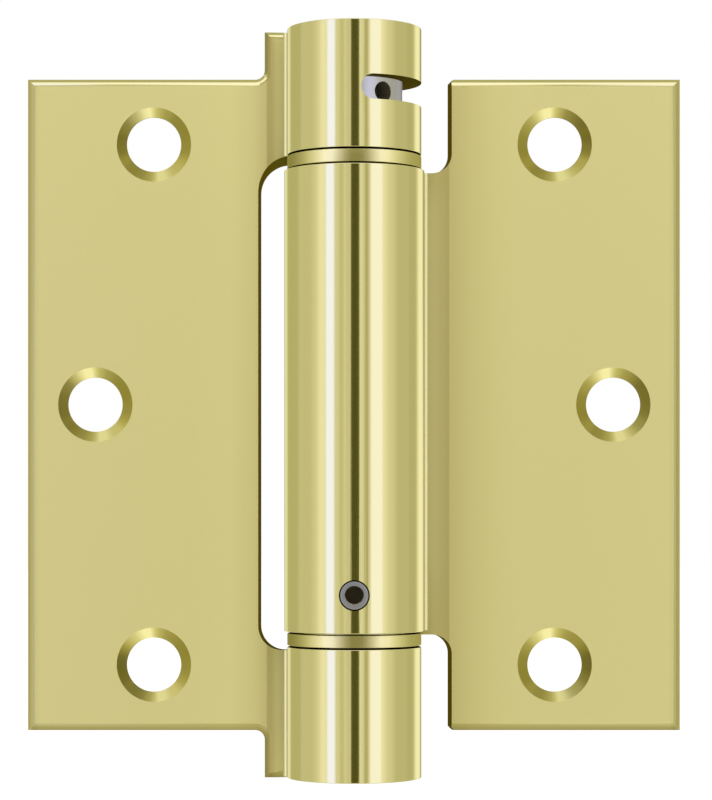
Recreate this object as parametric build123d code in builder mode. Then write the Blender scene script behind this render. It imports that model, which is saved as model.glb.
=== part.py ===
from build123d import *
from math import asin, cos, degrees, hypot, radians, sin, sqrt
import os

# Adjustable spring hinge for a door, full mortise, opened flat.
# Sizes are in millimetres. The origin is on the pin axis, half way up the barrel.
# +Z runs up the barrel, +X runs out along the door leaf and -X along the jamb leaf.
# The countersunk faces of both leaves look along -Y, towards someone standing in front.

# Leaves, each bent from one sheet
leaf_height = 88.9
leaf_reach = 44.45
sheet = 2.5
face_set_back = 1.9
edge_round = 1.1
swage_depth = 0.5
back_blend_radius = 4.2
seam_gap = 0.12

# Barrel
jamb_tab_height = 6.35
outer_knuckle_radius = 9.1
middle_knuckle_step = 0.42
outer_knuckle_length = 17.5
knuckle_rim_break = 0.3

# Openings in the leaves beside the barrel
jamb_tab_width = 3.13
jamb_tab_root_round = 1.3
jamb_strip_width = 2.86
slot_clearance = 3.51
slot_corner_round = 3.6
notch_clearance = 4.28
notch_corner_round = 2.6
notch_tip_break = 0.5
door_strip_width = 3.45

# Screw holes
screw_hole_radius = 3.72
countersink_radius = 5.07
countersink_angle = 82
outer_screw_x = 27.35
screw_stagger = 8.0
screw_end_distance = 8.95

# Bearing bushes between the knuckles
ring_thickness = 1.6
end_gap = 0.15
bush_sleeve_length = 3.2
ring_rim_round = 0.2

# Spindles
bush_running_clearance = 0.05
knuckle_running_clearance = 0.08
seated_clearance = 0.02
spindle_end_gap = 0.1
spindle_edge_break = 0.4
arbour_spring_gap = 0.25
arbour_length = 6.0
arbour_slot_clearance = 0.4
anchor_collar_length = 5.6

# Adjusting window and the holes that the tension bar enters
window_top_distance = 7.4
window_height = 3.35
window_start_angle = -83.5
window_end_angle = 70.0
bar_hole_radius = 1.15
bar_hole_depth = 3.2
bar_hole_angle = -53.3
bar_hole_count = 6

# Torsion spring
wire_radius = 1.0
coil_barrel_gap = 0.62
coil_pitch = 2.2
tang_bend_radius = 1.6
tang_least_straight = 0.3
tang_rod_gap = 0.45
spring_end_gap = 0.25

# Hollow pin that holds the anchor spindle in the middle knuckle
pin_radius = 1.88
pin_bore_radius = 1.27
pin_hole_clearance = 0.17
pin_collar_distance = 2.4
pin_length = 6.0
pin_sink = 0.25
pin_edge_break = 0.2

# Centre rod and end plugs
rod_radius = 2.0
rod_head_radius = 3.1
plug_depth = 4.2
plug_edge_break = 0.5
rod_end_sink = 0.1

# Sizes that follow from the ones above
leaf_half = leaf_height / 2
barrel_height = leaf_height + 2 * jamb_tab_height
barrel_half = barrel_height / 2
face_back = face_set_back + sheet
outer_knuckle_start = barrel_half - outer_knuckle_length
flange_outer_face = outer_knuckle_start - end_gap
flange_inner_face = flange_outer_face - ring_thickness
middle_half = flange_inner_face - end_gap
middle_knuckle_radius = outer_knuckle_radius + middle_knuckle_step
middle_screw_x = outer_screw_x + screw_stagger
outer_screw_z = leaf_half - screw_end_distance
outer_bore_radius = outer_knuckle_radius - sheet
middle_bore_radius = middle_knuckle_radius - sheet
jamb_tab_edge = outer_knuckle_radius + jamb_tab_width
slot_edge = middle_knuckle_radius + slot_clearance
notch_edge = outer_knuckle_radius + notch_clearance
spindle_radius = outer_bore_radius - knuckle_running_clearance
bush_bore_radius = spindle_radius + bush_running_clearance
seated_radius = middle_bore_radius - seated_clearance
spindle_bore_radius = rod_radius + knuckle_running_clearance
coil_radius = middle_bore_radius - coil_barrel_gap - wire_radius
arbour_radius = coil_radius - wire_radius - arbour_spring_gap
arbour_slot_width = 2 * (wire_radius + arbour_slot_clearance)
plug_radius = outer_bore_radius - seated_clearance
plug_inner_face = barrel_half - plug_depth
spindle_end = plug_inner_face - spindle_end_gap
sleeve_end = middle_half - bush_sleeve_length
collar_bottom = -(sleeve_end - spindle_end_gap)
collar_top = collar_bottom + anchor_collar_length
pin_height = collar_bottom + pin_collar_distance
window_middle = barrel_half - window_top_distance - window_height / 2

# How far a cut runs past the leaves, and past a wall, and how near counts as level
cut_margin = 5.0
wall_margin = 0.5
near = 0.01

# The front view: local x is +X, local y is +Z, and its normal is -Y
front_face = Plane(origin=(0, face_set_back, 0), x_dir=(1, 0, 0), z_dir=(0, -1, 0))


def radial_plane(angle: float, radius: float, height: float) -> Plane:
    """A plane that faces straight out of the barrel at an angle round +Z."""
    outward = (cos(radians(angle)), sin(radians(angle)), 0)
    place = (radius * outward[0], radius * outward[1], height)
    return Plane(origin=place, x_dir=(0, 0, 1), z_dir=outward)


def turned_plane(angle: float) -> Plane:
    """A plane through the axis: local x points out at the angle, local y is +Z."""
    turn = radians(angle)
    return Plane(origin=(0, 0, 0), x_dir=(cos(turn), sin(turn), 0), z_dir=(sin(turn), -cos(turn), 0))


def leaf_section(side: int, knuckle_radius: float, strip_width: float) -> Sketch:
    """Section of a leaf seen from above: sheet, swaged strip and curled knuckle.

    The sheet's front face drops by the swage depth across the strip beside the
    knuckle. The sheet then turns round the back of the knuckle, and its end comes
    back round the front to the strip, where the seam stays.
    """
    bore_radius = knuckle_radius - sheet
    strip_depth = face_set_back + swage_depth
    strip_end = sqrt(knuckle_radius**2 - strip_depth**2)
    seam_inner = sqrt(bore_radius**2 - strip_depth**2)
    blend_y = face_back + back_blend_radius
    blend_distance = knuckle_radius + back_blend_radius
    blend_x = sqrt(blend_distance**2 - blend_y**2)
    outward = (blend_x / blend_distance, blend_y / blend_distance)
    halfway = hypot(outward[0], outward[1] + 1)
    on_knuckle = (knuckle_radius * outward[0], knuckle_radius * outward[1])
    on_blend = (
        blend_x - back_blend_radius * outward[0] / halfway,
        blend_y - back_blend_radius * (outward[1] + 1) / halfway,
    )
    with BuildSketch() as section:
        with BuildLine():
            Polyline(
                (side * on_knuckle[0], on_knuckle[1]),
                (side * seam_inner / 2, strip_depth),
                (side * strip_end, strip_depth),
                (side * (knuckle_radius + strip_width), face_set_back),
                (side * leaf_reach, face_set_back),
                (side * leaf_reach, face_back),
                (side * blend_x, face_back),
            )
            ThreePointArc(
                (side * blend_x, face_back),
                (side * on_blend[0], on_blend[1]),
                (side * on_knuckle[0], on_knuckle[1]),
            )
        make_face()
        Circle(knuckle_radius)
        Circle(bore_radius, mode=Mode.SUBTRACT)
        seam_middle = (side * (strip_end + seam_inner) / 2, strip_depth - seam_gap / 2)
        with Locations(seam_middle):
            Rectangle(strip_end - seam_inner + 2 * seam_gap, seam_gap, mode=Mode.SUBTRACT)
    return section.sketch


def edge_round_profile(start: tuple, heading: tuple) -> Sketch:
    """What a rounded edge takes off, where an outline of the front face starts.

    Start and heading are in the front view, with the leaf on the heading's left.
    Local x is the depth behind the front face, and local y points into the leaf.
    """
    rim = Plane(
        origin=front_face.from_local_coords(start),
        x_dir=(0, 1, 0),
        z_dir=(heading[0], 0, heading[1]),
    )
    with BuildSketch(rim) as profile:
        with BuildLine():
            Polyline(
                (edge_round, 0),
                (edge_round, -wall_margin),
                (-wall_margin, -wall_margin),
                (-wall_margin, edge_round),
                (0, edge_round),
            )
            RadiusArc((0, edge_round), (edge_round, 0), -edge_round)
        make_face()
    return profile.sketch


def screw_places(side: int) -> list:
    """Screw centres on the front face, the middle one further from the barrel."""
    return [
        (side * outer_screw_x, outer_screw_z),
        (side * middle_screw_x, 0),
        (side * outer_screw_x, -outer_screw_z),
    ]


# Jamb leaf: the sheet, the tabs above and below, and the two short knuckles
with BuildPart() as jamb_leaf:
    with BuildSketch(Plane.XY.offset(-barrel_half)):
        add(leaf_section(-1, outer_knuckle_radius, jamb_strip_width))
    extrude(amount=barrel_height)
    rims = edges().filter_by(lambda e: abs(abs(e.center().Z) - barrel_half) < near)
    chamfer(rims.filter_by(GeomType.CIRCLE).sort_by(SortBy.RADIUS)[-2:], knuckle_rim_break)
    # The sheet stops short of the barrel's ends, beside the tabs
    with BuildSketch(front_face):
        for end in (-1, 1):
            corner_width = leaf_reach + cut_margin - jamb_tab_edge
            corner_height = barrel_half + cut_margin - leaf_half
            corner_x = -(jamb_tab_edge + corner_width / 2)
            with Locations((corner_x, end * (leaf_half + corner_height / 2))):
                Rectangle(corner_width, corner_height)
        tab_roots = vertices().filter_by(
            lambda v: abs(v.Y) < leaf_half + near and v.X > -jamb_tab_edge - near
        )
        fillet(tab_roots, radius=jamb_tab_root_round)
    extrude(amount=cut_margin + middle_knuckle_radius, both=True, mode=Mode.SUBTRACT)
    # The slot that the middle knuckle turns in
    with BuildSketch(front_face):
        slot_far_side = outer_knuckle_radius + cut_margin
        with Locations(((slot_far_side - slot_edge) / 2, 0)):
            Rectangle(slot_far_side + slot_edge, 2 * outer_knuckle_start)
        fillet(vertices().group_by(Axis.X)[0], radius=slot_corner_round)
    extrude(amount=cut_margin + middle_knuckle_radius, both=True, mode=Mode.SUBTRACT)
    # The edge of the front face is rounded all the way from tab to tab
    root_height = leaf_half + jamb_tab_root_round
    root_reach = jamb_tab_edge + jamb_tab_root_round
    top_tab_outline = [
        (-outer_knuckle_radius, barrel_half),
        (-jamb_tab_edge, barrel_half),
        (-jamb_tab_edge, root_height),
    ]
    sheet_outline = [
        (-root_reach, leaf_half),
        (-leaf_reach, leaf_half),
        (-leaf_reach, -leaf_half),
        (-root_reach, -leaf_half),
    ]
    bottom_tab_outline = [
        (-jamb_tab_edge, -root_height),
        (-jamb_tab_edge, -barrel_half),
        (-outer_knuckle_radius, -barrel_half),
    ]
    for outline in (top_tab_outline, sheet_outline, bottom_tab_outline):
        with BuildLine(front_face) as rim_path:
            Polyline(*outline)
        heading = rim_path.wire() % 0
        sweep(
            sections=edge_round_profile(outline[0], (heading.X, heading.Z)),
            path=rim_path.wire(),
            transition=Transition.RIGHT,
            mode=Mode.SUBTRACT,
        )
    for end in (-1, 1):
        revolve(
            profiles=edge_round_profile((-root_reach, end * leaf_half), (-end, 0)),
            axis=Axis((-root_reach, face_set_back, end * root_height), (0, -end, 0)),
            revolution_arc=90,
            mode=Mode.SUBTRACT,
        )
    with Locations(front_face):
        with Locations(*screw_places(-1)):
            CounterSinkHole(
                radius=screw_hole_radius,
                counter_sink_radius=countersink_radius,
                counter_sink_angle=countersink_angle,
            )
    # The window round the right of the top knuckle, with rounded ends
    wall_middle = outer_knuckle_radius - sheet / 2
    end_turn = degrees(window_height / 2 / outer_knuckle_radius)
    with BuildSketch(turned_plane(window_start_angle + end_turn)):
        with Locations((wall_middle, window_middle)):
            Rectangle(sheet + 2 * wall_margin, window_height)
    revolve(
        axis=Axis.Z,
        revolution_arc=window_end_angle - window_start_angle - 2 * end_turn,
        mode=Mode.SUBTRACT,
    )
    for angle in (window_start_angle + end_turn, window_end_angle - end_turn):
        with Locations(radial_plane(angle, wall_middle, window_middle)):
            Cylinder(window_height / 2, sheet + 2 * wall_margin, mode=Mode.SUBTRACT)

# Door leaf: the sheet, notched above and below, and the long middle knuckle
with BuildPart() as door_leaf:
    with BuildSketch(Plane.XY.offset(-leaf_half)):
        add(leaf_section(1, middle_knuckle_radius, door_strip_width))
    extrude(amount=leaf_height)
    with BuildLine(front_face) as door_outline:
        Polyline(
            (middle_knuckle_radius, -leaf_half),
            (leaf_reach, -leaf_half),
            (leaf_reach, leaf_half),
            (middle_knuckle_radius, leaf_half),
        )
    sweep(
        sections=edge_round_profile((middle_knuckle_radius, -leaf_half), (1, 0)),
        path=door_outline.wire(),
        transition=Transition.RIGHT,
        mode=Mode.SUBTRACT,
    )
    # The notches that the short knuckles turn in, with the leaf's corner broken
    with BuildSketch(front_face):
        notch_far_side = -middle_knuckle_radius - cut_margin
        for end in (-1, 1):
            with BuildLine():
                Polyline(
                    (notch_far_side, end * middle_half),
                    (notch_edge, end * middle_half),
                    (notch_edge, end * (leaf_half - notch_tip_break)),
                    (notch_edge + notch_tip_break, end * leaf_half),
                    (notch_edge + notch_tip_break, end * (leaf_half + cut_margin)),
                    (notch_far_side, end * (leaf_half + cut_margin)),
                    close=True,
                )
            make_face()
        notch_roots = vertices().filter_by(lambda v: abs(v.Y) < middle_half + near and v.X > 0)
        fillet(notch_roots, radius=notch_corner_round)
    extrude(amount=cut_margin + middle_knuckle_radius, both=True, mode=Mode.SUBTRACT)
    with Locations(front_face):
        with Locations(*screw_places(1)):
            CounterSinkHole(
                radius=screw_hole_radius,
                counter_sink_radius=countersink_radius,
                counter_sink_angle=countersink_angle,
            )
    with Locations(radial_plane(-90, middle_knuckle_radius - sheet / 2, pin_height)):
        Cylinder(pin_radius + pin_hole_clearance, sheet + 2 * wall_margin, mode=Mode.SUBTRACT)

# Bearing bushes: each flange shows as a ring between two knuckles
bushes = {}
for name, end in (("upper_bearing_bush", 1), ("lower_bearing_bush", -1)):
    with BuildPart() as bush:
        with BuildSketch(Plane.XZ):
            with BuildLine():
                Polyline(
                    (bush_bore_radius, end * sleeve_end),
                    (bush_bore_radius, end * flange_outer_face),
                    (outer_knuckle_radius, end * flange_outer_face),
                    (outer_knuckle_radius, end * flange_inner_face),
                    (seated_radius, end * flange_inner_face),
                    (seated_radius, end * sleeve_end),
                    close=True,
                )
            make_face()
            fillet(vertices().group_by(Axis.X)[-1], radius=ring_rim_round)
        revolve(axis=Axis.Z)
    bushes[name] = bush

# Torsion spring: left-hand, so that winding it up closes its coils
tang_tip_radius = rod_radius + tang_rod_gap
tang_bend_room = (coil_radius**2 - (tang_tip_radius + tang_least_straight) ** 2) / (2 * coil_radius)
tang_bend = min(tang_bend_radius, tang_bend_room)
tang_turn = degrees(asin(tang_bend / (coil_radius - tang_bend)))
spring_bottom = collar_top + spring_end_gap + wire_radius
spring_room = sleeve_end - spring_end_gap - wire_radius - spring_bottom
coil_count = int(spring_room / coil_pitch)
spring_rise = coil_count * coil_pitch
tang_straight = (coil_radius - tang_bend) * cos(radians(tang_turn)) - tang_tip_radius
with BuildPart() as torsion_spring:
    with BuildLine() as wire_path:
        coils = Helix(
            pitch=coil_pitch,
            height=spring_rise,
            radius=coil_radius,
            center=(0, 0, spring_bottom),
            lefthand=True,
        )
        for place, way in ((0, -1), (1, 1)):
            heading = (coils % place) * way
            inward = Vector(-(coils @ place).X, -(coils @ place).Y, 0).normalized()
            bend_plane = Plane(origin=coils @ place, x_dir=heading, z_dir=heading.cross(inward))
            with BuildLine(bend_plane):
                bend = JernArc((0, 0), (1, 0), tang_bend, 90 + tang_turn)
                Line(bend @ 1, bend @ 1 + (bend % 1) * tang_straight)
    tang_start = wire_path.wire() @ 0
    with BuildSketch(Plane(origin=tang_start, z_dir=wire_path.wire() % 0)):
        Circle(wire_radius)
    sweep(path=wire_path.wire())

# Adjusting spindle: a shaft in the top knuckle with holes for the tension bar
with BuildPart() as adjusting_spindle:
    with BuildSketch(Plane.XZ):
        with BuildLine():
            Polyline(
                (spindle_bore_radius, sleeve_end - arbour_length),
                (spindle_bore_radius, spindle_end),
                (spindle_radius - spindle_edge_break, spindle_end),
                (spindle_radius, spindle_end - spindle_edge_break),
                (spindle_radius, sleeve_end),
                (arbour_radius, sleeve_end),
                (arbour_radius, sleeve_end - arbour_length),
                close=True,
            )
        make_face()
    revolve(axis=Axis.Z)
    for index in range(bar_hole_count):
        hole_angle = bar_hole_angle + index * 360 / bar_hole_count
        with BuildSketch(radial_plane(hole_angle, spindle_radius - bar_hole_depth, window_middle)):
            Circle(bar_hole_radius)
        extrude(amount=bar_hole_depth + wall_margin, mode=Mode.SUBTRACT)
    # The slot across the arbour takes the spring's upper tang
    with BuildSketch(Plane.XY.offset(sleeve_end - arbour_length)):
        Rectangle(2 * (arbour_radius + wall_margin), arbour_slot_width, rotation=-tang_turn)
    extrude(amount=arbour_length, mode=Mode.SUBTRACT)

# Anchor spindle: pinned in the middle knuckle, and a shaft in the bottom knuckle
with BuildPart() as anchor_spindle:
    with BuildSketch(Plane.XZ):
        with BuildLine():
            Polyline(
                (spindle_bore_radius, -spindle_end),
                (spindle_radius - spindle_edge_break, -spindle_end),
                (spindle_radius, -spindle_end + spindle_edge_break),
                (spindle_radius, collar_bottom),
                (seated_radius, collar_bottom),
                (seated_radius, collar_top),
                (arbour_radius, collar_top),
                (arbour_radius, collar_top + arbour_length),
                (spindle_bore_radius, collar_top + arbour_length),
                close=True,
            )
        make_face()
    revolve(axis=Axis.Z)
    pin_outer_end = middle_knuckle_radius - pin_sink
    with BuildSketch(radial_plane(-90, pin_outer_end - pin_length - seated_clearance, pin_height)):
        Circle(pin_radius + seated_clearance)
    extrude(amount=pin_length, mode=Mode.SUBTRACT)
    with BuildSketch(Plane.XY.offset(collar_top)):
        Rectangle(2 * (arbour_radius + wall_margin), arbour_slot_width, rotation=tang_turn)
    extrude(amount=arbour_length, mode=Mode.SUBTRACT)

# Hollow pin, flush with the front of the barrel
with BuildPart() as anchor_pin:
    with BuildSketch(radial_plane(-90, pin_outer_end - pin_length, pin_height)):
        Circle(pin_radius)
        Circle(pin_bore_radius, mode=Mode.SUBTRACT)
    extrude(amount=pin_length)
    outer_rims = edges().filter_by(GeomType.CIRCLE).group_by(SortBy.RADIUS)[-1]
    chamfer(outer_rims, length=pin_edge_break)

# End plugs, seated in the outer ends of the short knuckles
plugs = {}
for name, end in (("top_end_plug", 1), ("bottom_end_plug", -1)):
    with BuildPart() as plug:
        with BuildSketch(Plane.XZ):
            with BuildLine():
                Polyline(
                    (rod_radius + seated_clearance, end * plug_inner_face),
                    (plug_radius, end * plug_inner_face),
                    (plug_radius, end * (barrel_half - plug_edge_break)),
                    (plug_radius - plug_edge_break, end * barrel_half),
                    (rod_head_radius + seated_clearance, end * barrel_half),
                    (rod_radius + seated_clearance, end * (barrel_half - rod_head_radius + rod_radius)),
                    close=True,
                )
            make_face()
        revolve(axis=Axis.Z)
    plugs[name] = plug

# Centre rod, riveted over into the countersunk end plugs
with BuildPart() as centre_rod:
    with BuildSketch(Plane.XZ):
        rod_end = barrel_half - rod_end_sink
        with BuildLine():
            Polyline(
                (0, -rod_end),
                (rod_head_radius - rod_end_sink, -rod_end),
                (rod_radius, -(barrel_half - rod_head_radius + rod_radius)),
                (rod_radius, barrel_half - rod_head_radius + rod_radius),
                (rod_head_radius - rod_end_sink, rod_end),
                (0, rod_end),
                close=True,
            )
        make_face()
    revolve(axis=Axis.Z)

pieces = {
    "jamb_leaf": jamb_leaf,
    "door_leaf": door_leaf,
    **bushes,
    "adjusting_spindle": adjusting_spindle,
    "anchor_spindle": anchor_spindle,
    "torsion_spring": torsion_spring,
    "anchor_pin": anchor_pin,
    "centre_rod": centre_rod,
    **plugs,
}
os.makedirs("parts", exist_ok=True)
for name, piece in pieces.items():
    piece.part.label = name
    export_step(piece.part, f"parts/{name}.step")
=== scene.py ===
import logging
import math
from dataclasses import dataclass
from enum import Enum
from typing import Callable, Iterable, Sequence

import bmesh
import bpy
from mathutils import Matrix, Vector


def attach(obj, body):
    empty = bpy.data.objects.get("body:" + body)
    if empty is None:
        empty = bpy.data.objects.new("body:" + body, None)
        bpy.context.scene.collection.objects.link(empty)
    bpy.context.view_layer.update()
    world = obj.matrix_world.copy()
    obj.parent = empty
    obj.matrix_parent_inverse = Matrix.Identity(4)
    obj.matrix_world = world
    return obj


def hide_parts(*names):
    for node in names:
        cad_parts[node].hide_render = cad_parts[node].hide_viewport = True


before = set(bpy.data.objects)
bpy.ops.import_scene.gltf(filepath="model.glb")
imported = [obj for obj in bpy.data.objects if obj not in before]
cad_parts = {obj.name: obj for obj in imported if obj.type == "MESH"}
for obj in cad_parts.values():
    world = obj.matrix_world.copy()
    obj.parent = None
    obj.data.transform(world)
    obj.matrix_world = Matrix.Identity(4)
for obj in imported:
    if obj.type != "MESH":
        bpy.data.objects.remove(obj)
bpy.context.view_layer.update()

# Looks of an adjustable spring hinge, opened flat and seen square-on.
# Shapes are drawn in millimetres round the pin axis and turned to metres when they are finished.

log = logging.getLogger("spring_hinge")

Mesh = bmesh.types.BMesh
Edge = bmesh.types.BMEdge
Thing = bpy.types.Object
Material = bpy.types.Material
Tree = bpy.types.NodeTree
Node = bpy.types.Node
Socket = bpy.types.NodeSocket
Tones = tuple[tuple[float, str], ...]

MILLIMETRE = 0.001
FULL_TURN = 2 * math.pi
QUARTER_TURN = math.pi / 2
SHARP_ANGLE = math.radians(32)
# How many flats stand for a full turn of the barrel, and of the smaller round shapes.
BARREL_STEPS = 192
HOLE_STEPS = 96
CUTTER_STEPS = 64
# Closer than this, in millimetres, two places count as one.
TOUCH = 0.01
# How far a cutter reaches past what it cuts.
OVERSHOOT = 2.0
# How many strips round off a rim.
RIM_STRIPS = 3
# Corners closer than this are welded: while a solid is drawn, and after its last cut.
WELD = 1e-5
LAST_WELD = 2e-4
# A face looks along an axis when its normal's share along it is above the first, and away below the second.
SQUARE_ON = 0.99
ASLANT = 0.5
# The sockets of a Mix node that mixes colours: both colours and the result.
MIX_FIRST, MIX_SECOND, MIX_RESULT = 6, 7, 2
# Where the outer screw holes are, and how much further out the middle one is.
SCREW_X = 27.35
SCREW_Z = 35.5
SCREW_STAGGER = 8.0


class Join(Enum):
    """How a tool solid is combined with a body solid."""

    CUT = "DIFFERENCE"
    ADD = "UNION"


class Skin(Enum):
    """Which finish a face of a leaf has, by its material slot."""

    SATIN = 0
    POLISHED = 1
    SHEARED = 2
    COUNTERSUNK = 3
    # Faces seen only through the barrel's thin gaps: painted shade, nearly black.
    RUNNING = 4
    BEAD = 5


def linear(code: str) -> tuple[float, float, float, float]:
    """Turns an sRGB hex colour into linear light.

    Args:
        code: six hex digits, with or without a leading hash.

    Returns:
        Linear red, green and blue, and an alpha of one.
    """
    digits = code.lstrip("#")
    parts = [int(digits[i:i + 2], 16) / 255 for i in (0, 2, 4)]
    lit = [p / 12.92 if p <= 0.04045 else ((p + 0.055) / 1.055) ** 2.4 for p in parts]
    return (lit[0], lit[1], lit[2], 1.0)


def add_node(
    tree: Tree, kind: str, fields: dict | None = None, values: dict | None = None, links: dict | None = None
) -> Node:
    """Adds one node with its settings and links.

    Args:
        tree: the node tree that gets the node.
        kind: the node's type name, without ShaderNode in front.
        fields: settings of the node itself.
        values: default values of its input sockets, by name or number.
        links: output sockets to link, by the name or number of the input.

    Returns:
        The new node.
    """
    node = tree.nodes.new("ShaderNode" + kind)
    for name, value in (fields or {}).items():
        setattr(node, name, value)
    for name, value in (values or {}).items():
        node.inputs[name].default_value = value
    for name, socket in (links or {}).items():
        tree.links.new(socket, node.inputs[name])
    return node


@dataclass(frozen=True)
class MetalFinish:
    """A metal surface: its colour, its gloss and the fine marks that its making leaves.

    The marks are a noise that is stretched along one axis of the piece. A mark's
    width is given in millimetres, and its length as a multiple of that.
    """

    name: str
    colour: str
    roughness: float
    mark_width: float = 0.25
    mark_length: tuple[float, float, float] = (1.0, 1.0, 1.0)
    mark_gloss: float = 0.02
    mark_depth: float = 0.0015
    metallic: float = 1.0
    edge_colour: str = "#ded6a0"
    shine: float = 0.5

    def material(self) -> Material:
        """Builds the finish as a node material.

        Returns:
            The material, with its marks read from Object coordinates.
        """
        made = bpy.data.materials.new(self.name)
        made.use_nodes = True
        tree = made.node_tree
        shader = tree.nodes["Principled BSDF"]
        shader.inputs["Base Color"].default_value = linear(self.colour)
        shader.inputs["Metallic"].default_value = self.metallic
        shader.inputs["Specular Tint"].default_value = linear(self.edge_colour)
        shader.inputs["Specular IOR Level"].default_value = self.shine
        place = add_node(tree, "TexCoord")
        marks = add_node(
            tree, "TexNoise", values={"Scale": 1.0, "Detail": 3.0, "Roughness": 0.6},
            links={"Vector": self.mark_place(tree, place)},
        )
        gloss = add_node(
            tree, "MapRange", links={"Value": marks.outputs["Fac"]},
            values={"To Min": self.roughness - self.mark_gloss, "To Max": self.roughness + self.mark_gloss},
        )
        relief = add_node(
            tree, "Bump", values={"Strength": 1.0, "Distance": self.mark_depth * MILLIMETRE},
            links={"Height": marks.outputs["Fac"]},
        )
        tree.links.new(gloss.outputs["Result"], shader.inputs["Roughness"])
        tree.links.new(relief.outputs["Normal"], shader.inputs["Normal"])
        self.tint(tree, shader, place)
        return made

    def mark_place(self, tree: Tree, place: Node) -> Socket:
        """Stretches the piece's coordinates to the marks' size.

        Args:
            tree: the material's node tree.
            place: its Texture Coordinate node.

        Returns:
            The vector that the marks are drawn by.
        """
        per_metre = 1 / (self.mark_width * MILLIMETRE)
        scale = tuple(per_metre / length for length in self.mark_length)
        stretched = add_node(
            tree, "Mapping", values={"Scale": scale}, links={"Vector": place.outputs["Object"]}
        )
        return stretched.outputs["Vector"]

    def tint(self, tree: Tree, shader: Node, place: Node) -> None:
        """Leaves the colour plain; a finish whose colour varies replaces this."""


def calculate(tree: Tree, operation: str, first: Socket, second: Socket | float | None = None) -> Socket:
    """Adds one sum to a node tree.

    Args:
        tree: the node tree.
        operation: the Math node's operation.
        first: the first socket.
        second: a number or a second socket, if the operation takes one.

    Returns:
        The result's socket.
    """
    links, values = {0: first}, {}
    if second is not None:
        (links if isinstance(second, Socket) else values)[1] = second
    return add_node(tree, "Math", {"operation": operation}, values, links).outputs["Value"]


def tone_ramp(tree: Tree, along: Socket, stops: Sequence[tuple[float, str]]) -> Socket:
    """Adds a ramp of tones.

    Args:
        tree: the node tree.
        along: the socket that says where on the ramp, from nought to one.
        stops: each tone's place and its sRGB hex colour.

    Returns:
        The colour's socket.
    """
    tones = add_node(tree, "ValToRGB", links={"Fac": along})
    ramp = tones.color_ramp
    ramp.elements.remove(ramp.elements[1])
    for index, (at, tone) in enumerate(stops):
        stop = ramp.elements[0] if index == 0 else ramp.elements.new(at)
        stop.position = at
        stop.color = linear(tone)
    return tones.outputs["Color"]


@dataclass(frozen=True)
class GradedFinish(MetalFinish):
    """A finish whose tone follows the distance from the pin axis, in millimetres.

    On a leaf it runs from the knuckle across the strip and the crease to the flat:
    painted shade on the strip and the bend beside the knuckle, and a painted shade
    line with a painted highlight past it at the outer edge. On a bearing ring it is a
    painted sheen, on a bead a painted highlight line. Where a rim is given, painted
    shade also darkens the tone towards edges that curve away from the eye.
    """

    tones: Tones = ()
    rim: Tones = ()
    centre: float = 0.0

    def tint(self, tree: Tree, shader: Node, place: Node) -> None:
        """Paints light and shade into the colour by the distance from the pin axis, and paints shade on its
        rims.

        Args:
            tree: the material's node tree.
            shader: its Principled BSDF node.
            place: its Texture Coordinate node.
        """
        parts = add_node(tree, "SeparateXYZ", links={"Vector": place.outputs["Object"]})
        aside = calculate(tree, "SUBTRACT", parts.outputs["X"], self.centre * MILLIMETRE)
        first, last = self.tones[0][0], self.tones[-1][0]
        share = add_node(
            tree, "MapRange", values={"From Min": first * MILLIMETRE, "From Max": last * MILLIMETRE},
            links={"Value": calculate(tree, "ABSOLUTE", aside)},
        )
        stops = [((at - first) / (last - first), tone) for at, tone in self.tones]
        colour = tone_ramp(tree, share.outputs["Result"], stops)
        # Painted shade: the colour darkens as the surface turns edge-on to the eye.
        if self.rim:
            away = add_node(tree, "LayerWeight", values={"Blend": 0.5})
            rim = tone_ramp(tree, away.outputs["Facing"], self.rim)
            mixing = {"data_type": "RGBA", "blend_type": "MULTIPLY"}
            colour = add_node(tree, "Mix", mixing, {"Factor": 1.0}, {MIX_FIRST: colour, MIX_SECOND: rim})
            colour = colour.outputs[MIX_RESULT]
        tree.links.new(colour, shader.inputs["Base Color"])


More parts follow.
